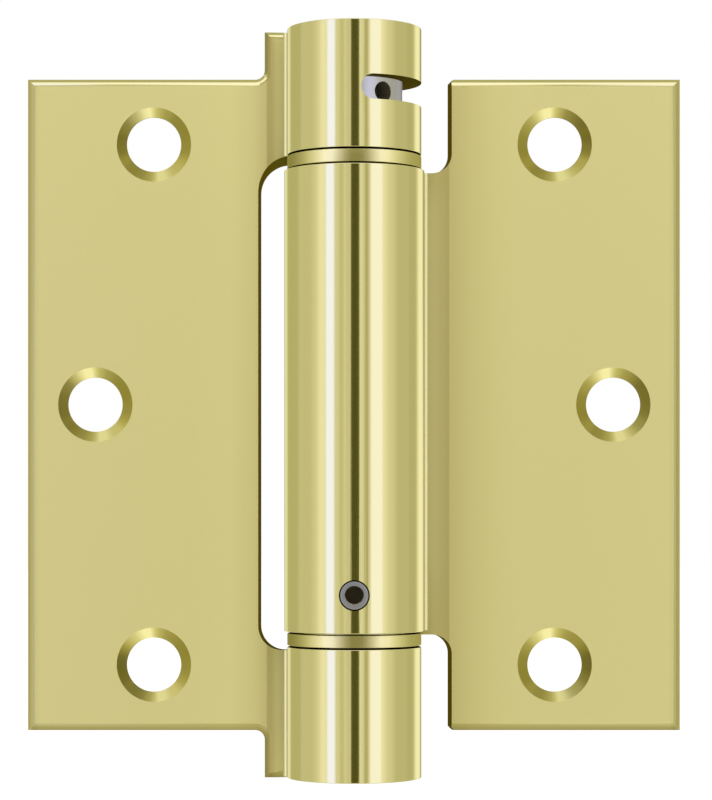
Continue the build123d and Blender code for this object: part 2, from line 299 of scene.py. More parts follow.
@dataclass(frozen=True)
class TurnedCountersink(MetalFinish):
    """Countersinks turned after plating: fine rings, with painted highlights in two sectors.

    Each tone's place is a share of half a turn, clockwise from the top, so every
    tone shows twice, on opposite sides of the screw hole.
    """

    side: int = 1
    tones: Tones = (
        (0.0, "#dbd083"), (0.035, "#c4b965"), (0.11, "#a99e50"), (0.2, "#9e9345"), (0.42, "#9f9340"),
        (0.58, "#a69b49"), (0.7, "#bcb15c"), (0.82, "#dcd183"), (0.9, "#fbf2a8"), (0.96, "#fbf2a8"),
        (1.0, "#dbd083"),
    )

    def around(self, tree: Tree, place: Node) -> tuple[Socket, Socket]:
        """Finds the way across and up from the nearest screw hole's centre.

        Args:
            tree: the material's node tree.
            place: its Texture Coordinate node.

        Returns:
            The sockets of both distances.
        """
        outer_x, stagger, row_step = (MILLIMETRE * v for v in (SCREW_X, SCREW_STAGGER, SCREW_Z))
        parts = add_node(tree, "SeparateXYZ", links={"Vector": place.outputs["Object"]})
        row = calculate(tree, "ROUND", calculate(tree, "DIVIDE", parts.outputs["Z"], row_step))
        up = calculate(tree, "SUBTRACT", parts.outputs["Z"], calculate(tree, "MULTIPLY", row, row_step))
        nearer = calculate(tree, "MULTIPLY", calculate(tree, "ABSOLUTE", row), self.side * stagger)
        middle = calculate(tree, "SUBTRACT", parts.outputs["X"], self.side * (outer_x + stagger))
        return calculate(tree, "ADD", middle, nearer), up

    def mark_place(self, tree: Tree, place: Node) -> Socket:
        """Draws the marks as rings round each screw hole.

        Args:
            tree: the material's node tree.
            place: its Texture Coordinate node.

        Returns:
            The vector that the marks are drawn by.
        """
        squares = [calculate(tree, "MULTIPLY", way, way) for way in self.around(tree, place)]
        radius = calculate(tree, "SQRT", calculate(tree, "ADD", *squares))
        rings = calculate(tree, "DIVIDE", radius, self.mark_width * MILLIMETRE)
        return add_node(tree, "CombineXYZ", links={"X": rings}).outputs["Vector"]

    def tint(self, tree: Tree, shader: Node, place: Node) -> None:
        """Paints highlights into the countersink's colour by the angle round its screw hole.

        Args:
            tree: the material's node tree.
            shader: its Principled BSDF node.
            place: its Texture Coordinate node.
        """
        across, up = self.around(tree, place)
        half_turns = calculate(tree, "DIVIDE", calculate(tree, "ARCTAN2", across, up), math.pi)
        share = calculate(tree, "FRACT", calculate(tree, "ADD", half_turns, 1.0))
        tree.links.new(tone_ramp(tree, share, self.tones), shader.inputs["Base Color"])


# Painted shade on the satin plate's rounded rim: its colour darkens, and cools a little, from facing the eye to
# edge-on.
SATIN_RIM = (
    (0.0, "#ffffff"), (0.022, "#ffffff"), (0.035, "#f0f0ec"), (0.067, "#d6d5c2"), (0.12, "#d9d8ca"),
    (0.18, "#d5d3c8"), (0.27, "#cfcdc3"), (0.33, "#ccc9c0"), (0.53, "#cdccd6"), (1.0, "#cdcce1"),
)
# Towards a leaf's outer edge a painted shade line runs along its face, and past it a painted highlight makes
# the rim lighter.
OUTER_TONES = (
    (30.0, "#ddd388"), (42.8, "#ddd388"), (43.14, "#dbd186"), (43.4, "#d6cc83"), (43.7, "#d1c780"),
    (43.96, "#d6cc83"), (44.23, "#eee392"), (44.5, "#f6eb98"),
)
# Brass plate on rolled steel sheet, buffed satin: an even, soft, pale yellow flat, with painted shade on the
# strip and the bend beside the knuckle.
SATIN_JAMB = GradedFinish(
    "satin_brass_plate_jamb", "#d9cf86", 0.5, 0.3, (1, 1, 8), 0.03, 0.0008, rim=SATIN_RIM,
    tones=(
        (9.85, "#c8be74"), (10.6, "#cbc074"), (11.4, "#bbae62"), (11.9, "#bbaf67"), (12.0, "#d1c579"),
        (13.7, "#dcd185"), (16.8, "#e1d78a"), (22.0, "#ded488"), *OUTER_TONES,
    ),
)
# The door leaf's plate: the same satin, with its painted shade beside the wider knuckle and strip.
SATIN_DOOR = GradedFinish(
    "satin_brass_plate_door", "#d9cf86", 0.5, 0.3, (1, 1, 8), 0.03, 0.0008, rim=SATIN_RIM,
    tones=(
        (10.2, "#c8be75"), (11.0, "#cabf73"), (12.5, "#c0b368"), (12.9, "#bbb065"), (13.0, "#cec276"),
        (16.0, "#d7cc7f"), (19.0, "#dcd285"), (22.2, "#ded488"), *OUTER_TONES,
    ),
)
# The bead that fills the corner beside each knuckle: a painted highlight, a thin cream line.
BEAD_JAMB = GradedFinish(
    "bead_painted_highlight_jamb", "#e2d88d", 0.5, 0.3, (1, 1, 8), 0.02, 0.0005,
    tones=((9.1, "#c8bc78"), (9.26, "#d7cc88"), (9.4, "#f5eaa5"), (9.54, "#d8cd89"), (9.68, "#c3b874")),
)
BEAD_DOOR = GradedFinish(
    "bead_painted_highlight_door", "#e2d88d", 0.5, 0.3, (1, 1, 8), 0.02, 0.0005,
    tones=((9.55, "#ccc17c"), (9.73, "#f4e9a3"), (9.86, "#e5d994"), (10.0, "#d4c984"), (10.12, "#c1b673")),
)
# The same plate polished bright on the barrel and on the rounded top rims: it mirrors the studio.
POLISHED_BRASS = MetalFinish(
    "polished_brass_plate", "#d2c988", 0.09, 0.2, (1, 1, 6), 0.012, 0.0003, edge_colour="#f1f1d3"
)
# Sheared sheet edges, which the plating hardly covers: dark olive brown and dull.
SHEARED_EDGE = MetalFinish(
    "sheared_plated_edge", "#655c28", 0.5, 0.12, (1, 1, 4), 0.05, 0.001, edge_colour="#b0a458"
)
# Painted shade for the thin gaps of the barrel: ends, shafts and walls seen only through a gap, nearly black
# and without shine.
GAP_SHADE_FINISH = MetalFinish(
    "painted_gap_shade", "#30220f", 0.6, 0.1, (1, 1, 1), 0.05, 0.001, 0.0, "#ffffff", 0.0
)
# Bearing rings turned from brass bar, with a painted sheen: painted highlights on both sides of a dull middle.
TURNED_BRASS = GradedFinish(
    "turned_brass_ring_painted_sheen", "#ccc177", 0.5, 0.06, (20, 20, 1), 0.03, 0.0008,
    tones=(
        (0.0, "#968c48"), (0.7, "#988e4c"), (1.4, "#ada363"), (2.2, "#cbc182"), (3.2, "#ece2a2"),
        (4.3, "#f2e8a6"), (5.4, "#e3da93"), (6.3, "#d6cd84"), (7.1, "#c3bb72"), (8.1, "#b0a864"),
        (9.4, "#9a9152"),
    ),
    centre=0.3,
)
# Zinc-plated turned steel: pale grey with a soft shine.
ZINC_STEEL = MetalFinish(
    "zinc_plated_turned_steel", "#bcbab0", 0.4, 0.1, (12, 12, 1), 0.05, 0.001, edge_colour="#8c8c92"
)
# Rolled spring-steel pin, blued grey.
PIN_STEEL = MetalFinish(
    "rolled_pin_steel", "#93928b", 0.42, 0.1, (1, 1, 1), 0.05, 0.001, edge_colour="#a0a098"
)
# Oiled spring wire: dark grey, slick.
SPRING_WIRE = MetalFinish(
    "oiled_spring_wire", "#6d6d72", 0.3, 0.15, (1, 1, 1), 0.05, 0.002, edge_colour="#909096"
)
# Inside of drilled holes: dull brown, dark because little light gets in.
HOLE_DARK = MetalFinish("oily_drilled_hole", "#71694f", 0.8, 0.1, (1, 1, 1), 0.05, 0.001, 0.0, "#ffffff")
# The pin's deep bore, dusty and brown.
PIN_BORE = MetalFinish("dusty_pin_bore", "#e0dac6", 0.8, 0.1, (1, 1, 1), 0.05, 0.001, 0.0, "#ffffff")


def slots(*finishes: MetalFinish) -> list[Material]:
    """Gives the materials of some finishes, and builds those that aren't there yet."""
    return [bpy.data.materials.get(finish.name) or finish.material() for finish in finishes]


class Outline:
    """A flat outline, drawn point by point and closed into one face."""

    def __init__(self, start: Sequence[float]) -> None:
        """Starts the outline at a point in millimetres."""
        self.mesh = bmesh.new()
        self.last = self.mesh.verts.new(start)

    def line(self, *points: Sequence[float]) -> "Outline":
        """Draws straight runs to each point in turn.

        Args:
            points: the points, in millimetres.

        Returns:
            This outline.
        """
        for point in points:
            made = bmesh.ops.extrude_vert_indiv(self.mesh, verts=[self.last])
            self.last = made["verts"][0]
            self.last.co = point
        return self

    def arc(self, centre: Sequence[float], axis: Sequence[float], turn: float, steps: int) -> "Outline":
        """Draws an arc from the last point.

        Args:
            centre: the arc's centre.
            axis: the direction it turns about, by the right-hand rule.
            turn: the angle in radians.
            steps: how many straight runs stand for the arc.

        Returns:
            This outline.
        """
        made = bmesh.ops.spin(
            self.mesh, geom=[self.last], cent=centre, axis=axis, dvec=(0, 0, 0), angle=turn, steps=steps
        )
        self.last = next(g for g in made["geom_last"] if isinstance(g, bmesh.types.BMVert))
        return self

    def face(self) -> Mesh:
        """Closes the outline.

        Returns:
            The mesh, which now holds one face.
        """
        ends = [v for v in self.mesh.verts if len(v.link_edges) == 1]
        if len(ends) == 2:
            self.mesh.edges.new(ends)
        bmesh.ops.remove_doubles(self.mesh, verts=self.mesh.verts[:], dist=WELD)
        bmesh.ops.contextual_create(self.mesh, geom=self.mesh.edges[:])
        return self.mesh


def thicken(mesh: Mesh, along: Sequence[float]) -> Mesh:
    """Pulls the faces of a flat outline into a closed solid.

    Args:
        mesh: a mesh that holds a flat outline.
        along: how far, in millimetres.

    Returns:
        The same mesh, as a solid whose faces point outwards.
    """
    made = bmesh.ops.extrude_face_region(mesh, geom=mesh.faces[:], use_keep_orig=True)
    moved = [g for g in made["geom"] if isinstance(g, bmesh.types.BMVert)]
    bmesh.ops.translate(mesh, verts=moved, vec=along)
    bmesh.ops.recalc_face_normals(mesh, faces=mesh.faces[:])
    return mesh


def turned(points: Sequence[Sequence[float]], steps: int = BARREL_STEPS) -> Mesh:
    """Turns a profile round the Z axis into a closed solid.

    Args:
        points: radius and height of each corner, in millimetres.
        steps: how many flats stand for the full turn.

    Returns:
        The turned solid.
    """
    mesh = bmesh.new()
    first = mesh.verts.new((points[0][0], 0, points[0][1]))
    last = first
    for radius, height in points[1:]:
        last = bmesh.ops.extrude_vert_indiv(mesh, verts=[last])["verts"][0]
        last.co = (radius, 0, height)
    mesh.edges.new((last, first))
    bmesh.ops.spin(
        mesh, geom=mesh.verts[:] + mesh.edges[:], cent=(0, 0, 0), axis=(0, 0, 1), dvec=(0, 0, 0),
        angle=FULL_TURN, steps=steps, use_merge=True,
    )
    bmesh.ops.remove_doubles(mesh, verts=mesh.verts[:], dist=WELD)
    bmesh.ops.dissolve_degenerate(mesh, edges=mesh.edges[:], dist=WELD)
    bmesh.ops.recalc_face_normals(mesh, faces=mesh.faces[:])
    return mesh


def bridged(loops: Sequence[Outline]) -> Mesh:
    """Joins closed outlines, one behind the other, into a closed solid.

    Args:
        loops: outlines with the same number of corners.

    Returns:
        The solid.
    """
    mesh = bmesh.new()
    rings = []
    for loop in loops:
        flat = loop.face()
        data = bpy.data.meshes.new("ring")
        flat.to_mesh(data)
        flat.free()
        before = len(mesh.edges)
        mesh.from_mesh(data)
        bpy.data.meshes.remove(data)
        mesh.edges.ensure_lookup_table()
        rings.append(mesh.edges[before:])
    caps = mesh.faces[:]
    bmesh.ops.delete(mesh, geom=caps[1:-1], context="FACES_ONLY")
    for near, far in zip(rings, rings[1:]):
        bmesh.ops.bridge_loops(mesh, edges=near + far)
    bmesh.ops.recalc_face_normals(mesh, faces=mesh.faces[:])
    return mesh


def rim_edges(mesh: Mesh, inner: float) -> list[Edge]:
    """Finds the edges between a plate's front face and its side walls.

    Args:
        mesh: the plate.
        inner: how far out, in millimetres, the edges have to reach.

    Returns:
        The edges.
    """
    found = []
    for edge in mesh.edges:
        if len(edge.link_faces) == 2 and max(v.co.x for v in edge.verts) > inner:
            fronts = sorted(face.normal.y for face in edge.link_faces)
            if fronts[0] < -SQUARE_ON and abs(fronts[1]) < ASLANT:
                found.append(edge)
    return found


def outer_rings(mesh: Mesh, radius: float) -> list[Edge]:
    """Finds the level ring edges of a turned solid.

    Args:
        mesh: the solid.
        radius: the rings have to be wider than this, in millimetres.

    Returns:
        The edges.
    """
    return [
        e for e in mesh.edges
        if min(math.hypot(v.co.x, v.co.y) for v in e.verts) > radius
        and abs(e.verts[0].co.z - e.verts[1].co.z) < TOUCH
    ]


def soften(mesh: Mesh, picked: Sequence[Edge], width: float, segments: int, skin: int = -1) -> None:
    """Bevels edges.

    Args:
        mesh: the solid.
        picked: the edges.
        width: the bevel's width in millimetres.
        segments: how many strips the bevel has.
        skin: the material slot of the new faces, or -1 to keep what is beside them.
    """
    bmesh.ops.bevel(
        mesh, geom=picked, offset=width, offset_type="OFFSET", affect="EDGES", segments=segments,
        profile=0.5, material=skin, clamp_overlap=True,
    )


def paint(mesh: Mesh, skin: int, rule: Callable[[Vector, Vector], bool] | None = None) -> None:
    """Gives faces a material slot.

    Args:
        mesh: the solid.
        skin: the slot's number.
        rule: takes a face's centre and normal, or None for every face.
    """
    for face in mesh.faces:
        if rule is None or rule(face.calc_center_median(), face.normal):
            face.material_index = skin


def drill_bit(radius: float, near: float, far: float, angle: float, height: float, steps: int) -> Mesh:
    """Builds a cylinder that points straight out from the pin axis.

    Args:
        radius: the cylinder's radius.
        near: how far from the axis it starts.
        far: how far from the axis it ends.
        angle: its direction round the axis, in radians.
        height: its height.
        steps: how many flats it has.

    Returns:
        The cylinder.
    """
    mesh = bmesh.new()
    bmesh.ops.create_cone(
        mesh, cap_ends=True, segments=steps, radius1=radius, radius2=radius, depth=far - near
    )
    reach = (near + far) / 2
    turn = Matrix.Rotation(angle, 4, "Z") @ Matrix.Rotation(QUARTER_TURN, 4, "Y")
    place = Matrix.Translation((reach * math.cos(angle), reach * math.sin(angle), height))
    bmesh.ops.transform(mesh, matrix=place @ turn, verts=mesh.verts[:])
    return mesh


def block(size: Sequence[float], place: Matrix) -> Mesh:
    """Builds a box.

    Args:
        size: its three sizes, in millimetres.
        place: where its middle goes, and how it is turned.

    Returns:
        The box.
    """
    mesh = bmesh.new()
    bmesh.ops.create_cube(mesh, size=1, matrix=place @ Matrix.Diagonal((*size, 1)))
    return mesh


def as_object(mesh: Mesh, name: str, finishes: Iterable[Material]) -> Thing:
    """Turns a mesh into an object, still in millimetres.

    Args:
        mesh: the mesh, which is used up.
        name: the object's name.
        finishes: its material slots.

    Returns:
        The object.
    """
    data = bpy.data.meshes.new(name)
    mesh.to_mesh(data)
    mesh.free()
    for finish in finishes:
        data.materials.append(finish)
    made = bpy.data.objects.new(name, data)
    bpy.context.scene.collection.objects.link(made)
    return made


def combine(body: Thing, tool: Thing, how: Join) -> None:
    """Cuts a tool out of a body or joins it on, and removes the tool.

    Args:
        body: the object that stays.
        tool: the object that is used up.
        how: whether the tool cuts or adds.
    """
    step = body.modifiers.new("combine", "BOOLEAN")
    step.operation = how.value
    step.object = tool
    step.solver = "EXACT"
    step.material_mode = "INDEX"
    graph = bpy.context.evaluated_depsgraph_get()
    result = bpy.data.meshes.new_from_object(body.evaluated_get(graph))
    old = body.data
    body.modifiers.clear()
    body.data = result
    bpy.data.meshes.remove(old)
    data = tool.data
    bpy.data.objects.remove(tool)
    bpy.data.meshes.remove(data)


def cut(body: Thing, cutter: Mesh, skin: int) -> None:
    """Cuts a solid out of a body, and gives the new faces a material slot.

    Args:
        body: the object that stays.
        cutter: the solid, which is used up.
        skin: the slot's number.
    """
    paint(cutter, skin)
    combine(body, as_object(cutter, "cutter", body.data.materials[:]), Join.CUT)


def finished(made: Thing, body: str, slot: str, *nodes: str) -> Thing:
    """Turns an object to metres, shades it and puts it on its body.

    Args:
        made: the object, in millimetres.
        body: the body that it rides on.
        slot: the record's material slot; not used.
        nodes: the CAD nodes that it stands for.

    Returns:
        The finished object.
    """
    mesh = bmesh.new()
    mesh.from_mesh(made.data)
    bmesh.ops.remove_doubles(mesh, verts=mesh.verts[:], dist=LAST_WELD)
    bmesh.ops.dissolve_degenerate(mesh, edges=mesh.edges[:], dist=LAST_WELD)
    bmesh.ops.scale(mesh, verts=mesh.verts[:], vec=(MILLIMETRE,) * 3)
    mesh.to_mesh(made.data)
    mesh.free()
    made.data.shade_smooth()
    made.data.set_sharp_from_angle(angle=SHARP_ANGLE)
    even = made.modifiers.new("even_shading", "WEIGHTED_NORMAL")
    even.keep_sharp = True
    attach(made, body)
    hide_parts(*nodes)
    log.info("%s: %d faces on %s, for %s", made.name, len(made.data.polygons), body, ", ".join(nodes))
    return made


@dataclass
class ScrewHole:
    """A countersunk screw hole through a leaf, along Y.

    It leans a little towards the eye, so that its rings look even from the front, as
    they do in the photo; at the back of the sheet that is a third of a millimetre.
    """

    x: float
    z: float
    face_y: float = 1.9
    radius: float = 3.72
    sink_radius: float = 5.07
    sink_angle: float = 82.0
    margin: float = 1.0
    sheet: float = 2.5
    eye_distance: float = 440.0
    eye_height: float = -14.0

    def cutter(self, finishes: Iterable[Material]) -> Thing:
        """Builds the solid that cuts the hole.

        Args:
            finishes: the leaf's material slots.

        Returns:
            The cutting solid.
        """
        slope = math.tan(math.radians(self.sink_angle / 2))
        depth = (self.sink_radius - self.radius) / slope
        bottom = -self.sheet - self.margin
        rim = (self.sink_radius + self.margin * slope, self.margin)
        mesh = turned(
            [(0, self.margin), rim, (self.radius, -depth), (self.radius, bottom), (0, bottom)], HOLE_STEPS
        )
        paint(mesh, Skin.COUNTERSUNK.value)
        paint(mesh, Skin.SHEARED.value, lambda c, n: c.z < -depth)
        place = Matrix.Translation((self.x, self.face_y, self.z)) @ Matrix.Rotation(QUARTER_TURN, 4, "X")
        bmesh.ops.transform(mesh, matrix=place, verts=mesh.verts[:])
        for vert in mesh.verts:
            deep = (vert.co.y - self.face_y) / self.eye_distance
            vert.co.x += self.x * deep
            vert.co.z += (self.z - self.eye_height) * deep
        return as_object(mesh, "hole_cutter", finishes)


@dataclass
class LeafStock:
    """Sizes that both leaves share, and the steps by which both are built.

    Each leaf is drawn on the +X side and mirrored to its own side at the end. Its rim
    is polished where it looks up more than lit_rise, and more than lit_lean times what
    it looks aside. Blend and bead are the fillets behind and in front of the knuckles:
    their roots, depths and sinks are how far they reach into what they join.
    """

    side: int
    knuckle_radius: float
    strip_width: float
    satin: GradedFinish
    bead: GradedFinish
    height: float = 89.04
    reach: float = 44.57
    inner: float = 7.0
    sheet: float = 2.5
    face_y: float = 1.9
    swage: float = 0.5
    rim_round: float = 1.25
    rim_steps: int = 8
    blend_radius: float = 4.2
    seam_gap: float = 0.12
    blend_root: float = 1.0
    blend_depth: float = 1.4
    blend_steps: int = 16
    bead_radius: float = 0.7
    bead_root: float = 0.9
    bead_depth: float = 0.5
    bead_lap: float = 0.05
    bead_sink: float = 0.6
    bead_steps: int = 10
    bead_tries: int = 6
    knuckle_rim: float = 0.1
    lit_rise: float = 0.28
    lit_lean: float = 0.6

    def __post_init__(self) -> None:
        """Builds the finishes of a leaf, in the order of Skin."""
        sunk = TurnedCountersink(
            f"turned_countersink_painted_highlights_{'door' if self.side > 0 else 'jamb'}",
            "#cdbf6c", 0.32, 0.09, (1, 1, 1), 0.05, 0.0006, side=self.side,
        )
        self.finishes = slots(self.satin, POLISHED_BRASS, SHEARED_EDGE, sunk, GAP_SHADE_FINISH, self.bead)

    @property
    def bore(self) -> float:
        """Radius of the knuckle's bore."""
        return self.knuckle_radius - self.sheet

    @property
    def strip_y(self) -> float:
        """Where the strip's face meets the knuckle."""
        return self.face_y + self.swage

    @property
    def strip_end(self) -> float:
        """How far out the strip's face meets the knuckle."""
        return math.sqrt(self.knuckle_radius**2 - self.strip_y**2)

    @property
    def flat_end(self) -> float:
        """How far out the strip meets the flat of the leaf."""
        return self.knuckle_radius + self.strip_width

    @property
    def slope(self) -> float:
        """How steeply the strip falls back towards the knuckle."""
        return self.swage / (self.flat_end - self.strip_end)

    @property
    def wall_middle(self) -> float:
        """Radius of the middle of the knuckle's wall."""
        return self.knuckle_radius - self.sheet / 2

    def placed(self, mesh: Mesh, name: str) -> Thing:
        """Puts a solid that was drawn on the +X side on this leaf's side.

        Args:
            mesh: the solid, which is used up.
            name: the name of the object.

        Returns:
            The object.
        """
        if self.side < 0:
            bmesh.ops.scale(mesh, verts=mesh.verts[:], vec=(-1, 1, 1))
            bmesh.ops.recalc_face_normals(mesh, faces=mesh.faces[:])
        return as_object(mesh, name, self.finishes)

    def blank(self, outline: Outline) -> Mesh:
        """Builds the plate from its outline: sheet, sloping strip and rounded rim.

        Args:
            outline: the front face's outline.

        Returns:
            The plate, before anything is cut from it.
        """
        mesh = thicken(outline.face(), (0, self.sheet, 0))
        mesh.normal_update()
        soften(mesh, rim_edges(mesh, self.inner + TOUCH), self.rim_round, self.rim_steps)
        everything = mesh.verts[:] + mesh.edges[:] + mesh.faces[:]
        flat_end, slope = self.flat_end, self.slope
        bmesh.ops.bisect_plane(mesh, geom=everything, dist=WELD, plane_co=(flat_end, 0, 0), plane_no=(1, 0, 0))
        for vert in mesh.verts:
            if vert.co.x < flat_end - TOUCH:
                share = 1 - (vert.co.y - self.face_y) / self.sheet
                vert.co.y += slope * (flat_end - vert.co.x) * share
        mesh.normal_update()
        paint(mesh, Skin.SATIN.value)
        paint(mesh, Skin.POLISHED.value, lambda c, n: n.z > self.lit_rise and n.z > self.lit_lean * abs(n.x))
        return mesh

    def knuckle(self, low: float, high: float, open_ends: Sequence[float]) -> Thing:
        """Builds one knuckle tube with its seam.

        Args:
            low: the lower end's height.
            high: the upper end's height.
            open_ends: the heights of ends that are plated bright.

        Returns:
            The tube.
        """
        radius, middle = self.knuckle_radius, self.wall_middle
        mesh = turned([(self.bore, low), (radius, low), (radius, high), (self.bore, high)])
        # Every face starts with the painted gap shade, which stays on the ends that face the thin gaps.
        paint(mesh, Skin.RUNNING.value)
        paint(mesh, Skin.SHEARED.value, lambda c, n: math.hypot(c.x, c.y) < middle and abs(n.z) < ASLANT)
        paint(mesh, Skin.POLISHED.value, lambda c, n: math.hypot(c.x, c.y) > middle and abs(n.z) < ASLANT)
        for end in open_ends:
            paint(mesh, Skin.POLISHED.value, lambda c, n: abs(c.z - end) < TOUCH)
        soften(mesh, outer_rings(mesh, middle), self.knuckle_rim, RIM_STRIPS, Skin.POLISHED.value)
        tube = as_object(mesh, "knuckle", self.finishes)
        place = Matrix.Translation((middle, self.strip_y - self.seam_gap / 2, (low + high) / 2))
        slit = block((self.sheet + OVERSHOOT, self.seam_gap, high - low + OVERSHOOT), place)
        paint(slit, Skin.SHEARED.value)
        combine(tube, self.placed(slit, "slit"), Join.CUT)
        return tube

    def back_blend(self, low: float, high: float) -> Thing:
        """Builds the curve by which the sheet runs into the back of a knuckle.

        Args:
            low: its lower end's height.
            high: its upper end's height.

        Returns:
            The solid, on this leaf's side.
        """
        back = self.face_y + self.sheet
        centre_y = back + self.blend_radius
        away = self.knuckle_radius + self.blend_radius
        centre_x = math.sqrt(away**2 - centre_y**2)
        share, deep = self.wall_middle / away, back - self.blend_depth
        shape = Outline((centre_x * share, centre_y * share, low))
        shape.line((self.strip_end - self.blend_root, deep, low), (centre_x, deep, low), (centre_x, back, low))
        shape.arc((centre_x, centre_y, low), (0, 0, -1), math.atan2(centre_x, centre_y), self.blend_steps)
        mesh = thicken(shape.face(), (0, 0, high - low))
        paint(mesh, Skin.POLISHED.value)
        paint(mesh, Skin.SHEARED.value, lambda c, n: abs(n.z) > ASLANT)
        return self.placed(mesh, "back_blend")

    def front_bead(self, low: float, high: float) -> Thing:
        """Builds the small bead that fills the corner between the strip and the knuckle.

        Args:
            low: its lower end's height.
            high: its upper end's height.

        Returns:
            The solid, on this leaf's side.
        """
        away = centre_x = self.knuckle_radius + self.bead_radius
        for _ in range(self.bead_tries):
            base = self.face_y + self.slope * (self.flat_end - centre_x)
            centre_y = base - self.bead_radius
            centre_x = math.sqrt(away**2 - centre_y**2)
        share, root = (self.knuckle_radius - self.bead_sink) / away, self.strip_end - self.bead_root
        deep, lap = base + self.bead_depth, centre_x + self.bead_lap
        shape = Outline((centre_x * share, centre_y * share, low))
        shape.line((root, deep, low), (lap, deep, low), (lap, base, low), (centre_x, base, low))
        turn = QUARTER_TURN + math.atan2(centre_y, centre_x)
        shape.arc((centre_x, centre_y, low), (0, 0, 1), turn, self.bead_steps)
        mesh = thicken(shape.face(), (0, 0, high - low))
        paint(mesh, Skin.BEAD.value)
        return self.placed(mesh, "front_bead")

    def tapered(self, draw: Callable[[float, bool], Outline]) -> Thing:
        """Builds the solid that shears an opening whose walls lean in towards the back.

        Args:
            draw: draws the opening's outline at a depth, as it is in front or at the back.

        Returns:
            The cutting solid.
        """
        back = self.face_y + self.sheet
        depths = ((-self.face_y, False), (self.face_y, False), (back, True), (back + OVERSHOOT, True))
        mesh = bridged([draw(depth, at_back) for depth, at_back in depths])
        paint(mesh, Skin.SHEARED.value)
        return self.placed(mesh, "opening")

    def drill(self, plate: Thing) -> None:
        """Drills and countersinks the three screw holes.

        Args:
            plate: the leaf's plate.
        """
        for x, z in ((SCREW_X, SCREW_Z), (SCREW_X + SCREW_STAGGER, 0.0), (SCREW_X, -SCREW_Z)):
            hole = ScrewHole(self.side * x, z, self.face_y)
            combine(plate, hole.cutter(self.finishes), Join.CUT)


